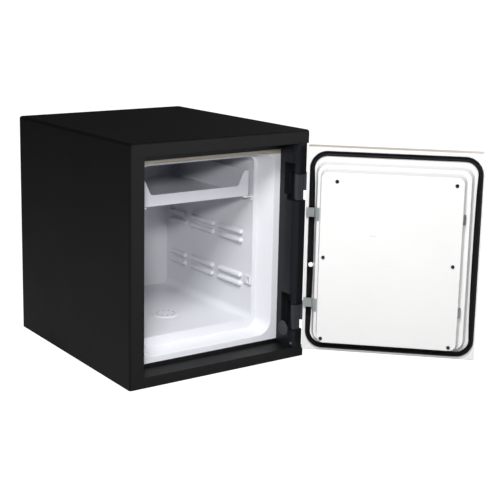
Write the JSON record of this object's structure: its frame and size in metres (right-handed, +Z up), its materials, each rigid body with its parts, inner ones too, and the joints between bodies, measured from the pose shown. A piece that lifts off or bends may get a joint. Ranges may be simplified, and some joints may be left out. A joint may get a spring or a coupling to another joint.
{
  "type": "in room safe",
  "caption": "Box-shaped fire-resistant room safe with a hinged insulated door, ribbed light interior, sliding tray, keypad, lever handle and retracting live bolts.",
  "frame": {"origin": "centre of the body's underside, on the surface that the safe stands on", "axes": "+Z up; -Y is the front, where the doorway is; +X is the hinge side, to the right as seen from the front"},
  "size_m": [0.6071, 0.6743, 0.427],
  "materials": {
    "black_paint": "fine-textured powder coat",
    "ivory_paint": "satin",
    "zinc_steel": "zinc plated",
    "bright_steel": "turned steel",
    "dark_grey_plastic": "moulded",
    "satin_chrome": "satin chrome",
    "insulation": "cast mineral fill",
    "light_plastic": "moulded, light grey",
    "white_plastic": "moulded, white",
    "natural_nylon": "moulded nylon",
    "black_plastic": "moulded, fine texture",
    "gloss_black_plastic": "moulded, gloss",
    "black_rubber": "extruded EPDM",
    "key_grey": "moulded, matt",
    "circuit_green": "solder mask",
    "lens_green": "translucent lens",
    "cell_metal": "wrapped cell"
  },
  "bodies": {
    "safe_body": {"outer_casing": "black_paint", "base_plate": "black_paint", "back_panel": "black_paint", "body_insulation": "insulation", "inner_liner": "light_plastic", "strike_boxes": "zinc_steel", "hinge_post": "black_paint", "hinge_pins": "zinc_steel", "post_screw": "bright_steel", "jamb_cap": "dark_grey_plastic", "anchor_cap": "light_plastic", "tray_runners": "light_plastic", "shelf_clips": "light_plastic"},
    "tray": {"tray": "light_plastic"},
    "door": {"door_shell": "ivory_paint", "door_insulation": "insulation", "door_fascia": "black_plastic", "inner_panel": "white_plastic", "panel_screws": "zinc_steel", "door_gasket": "black_rubber", "panel_clips": "zinc_steel", "clip_screws": "zinc_steel", "locating_stud": "natural_nylon", "hinge_knuckles": "black_paint", "mechanism_plate": "zinc_steel", "plate_standoffs": "zinc_steel", "bolt_guides": "natural_nylon", "guide_studs": "zinc_steel", "solenoid_body": "zinc_steel", "handle_rose": "satin_chrome", "keypad_housing": "gloss_black_plastic", "keypad_membrane": "black_rubber", "circuit_board": "circuit_green", "indicator_lens": "lens_green", "batteries": "cell_metal", "battery_holder": "black_plastic", "lock_cylinder": "satin_chrome"},
    "door_handle": {"handle": "satin_chrome", "spindle": "zinc_steel", "crank": "zinc_steel"},
    "boltwork": {"bolt_carriage": "zinc_steel", "live_bolts": "bright_steel"},
    "plunger": {"solenoid_plunger": "zinc_steel"},
    "battery_cover": {"battery_cover": "gloss_black_plastic"},
    "key_plug": {"key_plug": "satin_chrome"},
    "key_1": {"key_1": "key_grey"},
    "key_2": {"key_2": "key_grey"},
    "key_3": {"key_3": "key_grey"},
    "key_4": {"key_4": "key_grey"},
    "key_5": {"key_5": "key_grey"},
    "key_6": {"key_6": "key_grey"},
    "key_7": {"key_7": "key_grey"},
    "key_8": {"key_8": "key_grey"},
    "key_9": {"key_9": "key_grey"},
    "key_clear": {"key_clear": "key_grey"},
    "key_0": {"key_0": "key_grey"},
    "key_enter": {"key_enter": "key_grey"}
  },
  "joints": [
    {"name": "door_hinge", "type": "hinge", "parent": "safe_body", "child": "door", "pos_m": [0.175, -0.203, 0.2], "axis": [0, 0, 1], "range_deg": [-136.1, 8.9]},
    {"name": "tray_slide", "type": "slide", "parent": "safe_body", "child": "tray", "axis": [0, -1, 0], "range_m": [0, 0.2]},
    {"name": "handle_turn", "type": "hinge", "parent": "door", "child": "door_handle", "pos_m": [0.36949, -0.36865, 0.2], "axis": [0.6934, 0.7206, 0], "range_deg": [0, 45]},
    {"name": "bolt_slide", "type": "slide", "parent": "door", "child": "boltwork", "axis": [0.7206, -0.6934, 0], "range_m": [0, 0.0262]},
    {"name": "plunger_lift", "type": "slide", "parent": "door", "child": "plunger", "axis": [0, 0, 1], "range_m": [0, 0.003]},
    {"name": "battery_cover_slide", "type": "slide", "parent": "door", "child": "battery_cover", "axis": [0, 0, -1], "range_m": [0, 0.012]},
    {"name": "key_plug_turn", "type": "hinge", "parent": "door", "child": "key_plug", "pos_m": [0.25204, -0.25562, 0.287], "axis": [0.6934, 0.7206, 0], "range_deg": [0, 90]},
    {"name": "key_1_press", "type": "slide", "parent": "door", "child": "key_1", "axis": [-0.6934, -0.7206, 0], "range_m": [0, 0.0012], "stiffness_N_per_m": 400},
    {"name": "key_2_press", "type": "slide", "parent": "door", "child": "key_2", "axis": [-0.6934, -0.7206, 0], "range_m": [0, 0.0012], "stiffness_N_per_m": 400},
    {"name": "key_3_press", "type": "slide", "parent": "door", "child": "key_3", "axis": [-0.6934, -0.7206, 0], "range_m": [0, 0.0012], "stiffness_N_per_m": 400},
    {"name": "key_4_press", "type": "slide", "parent": "door", "child": "key_4", "axis": [-0.6934, -0.7206, 0], "range_m": [0, 0.0012], "stiffness_N_per_m": 400},
    {"name": "key_5_press", "type": "slide", "parent": "door", "child": "key_5", "axis": [-0.6934, -0.7206, 0], "range_m": [0, 0.0012], "stiffness_N_per_m": 400},
    {"name": "key_6_press", "type": "slide", "parent": "door", "child": "key_6", "axis": [-0.6934, -0.7206, 0], "range_m": [0, 0.0012], "stiffness_N_per_m": 400},
    {"name": "key_7_press", "type": "slide", "parent": "door", "child": "key_7", "axis": [-0.6934, -0.7206, 0], "range_m": [0, 0.0012], "stiffness_N_per_m": 400},
    {"name": "key_8_press", "type": "slide", "parent": "door", "child": "key_8", "axis": [-0.6934, -0.7206, 0], "range_m": [0, 0.0012], "stiffness_N_per_m": 400},
    {"name": "key_9_press", "type": "slide", "parent": "door", "child": "key_9", "axis": [-0.6934, -0.7206, 0], "range_m": [0, 0.0012], "stiffness_N_per_m": 400},
    {"name": "key_clear_press", "type": "slide", "parent": "door", "child": "key_clear", "axis": [-0.6934, -0.7206, 0], "range_m": [0, 0.0012], "stiffness_N_per_m": 400},
    {"name": "key_0_press", "type": "slide", "parent": "door", "child": "key_0", "axis": [-0.6934, -0.7206, 0], "range_m": [0, 0.0012], "stiffness_N_per_m": 400},
    {"name": "key_enter_press", "type": "slide", "parent": "door", "child": "key_enter", "axis": [-0.6934, -0.7206, 0], "range_m": [0, 0.0012], "stiffness_N_per_m": 400}
  ],
  "couplings": [
    {"joint": "bolt_slide", "follows": "handle_turn", "m_per_rad": 0.033133}
  ]
}
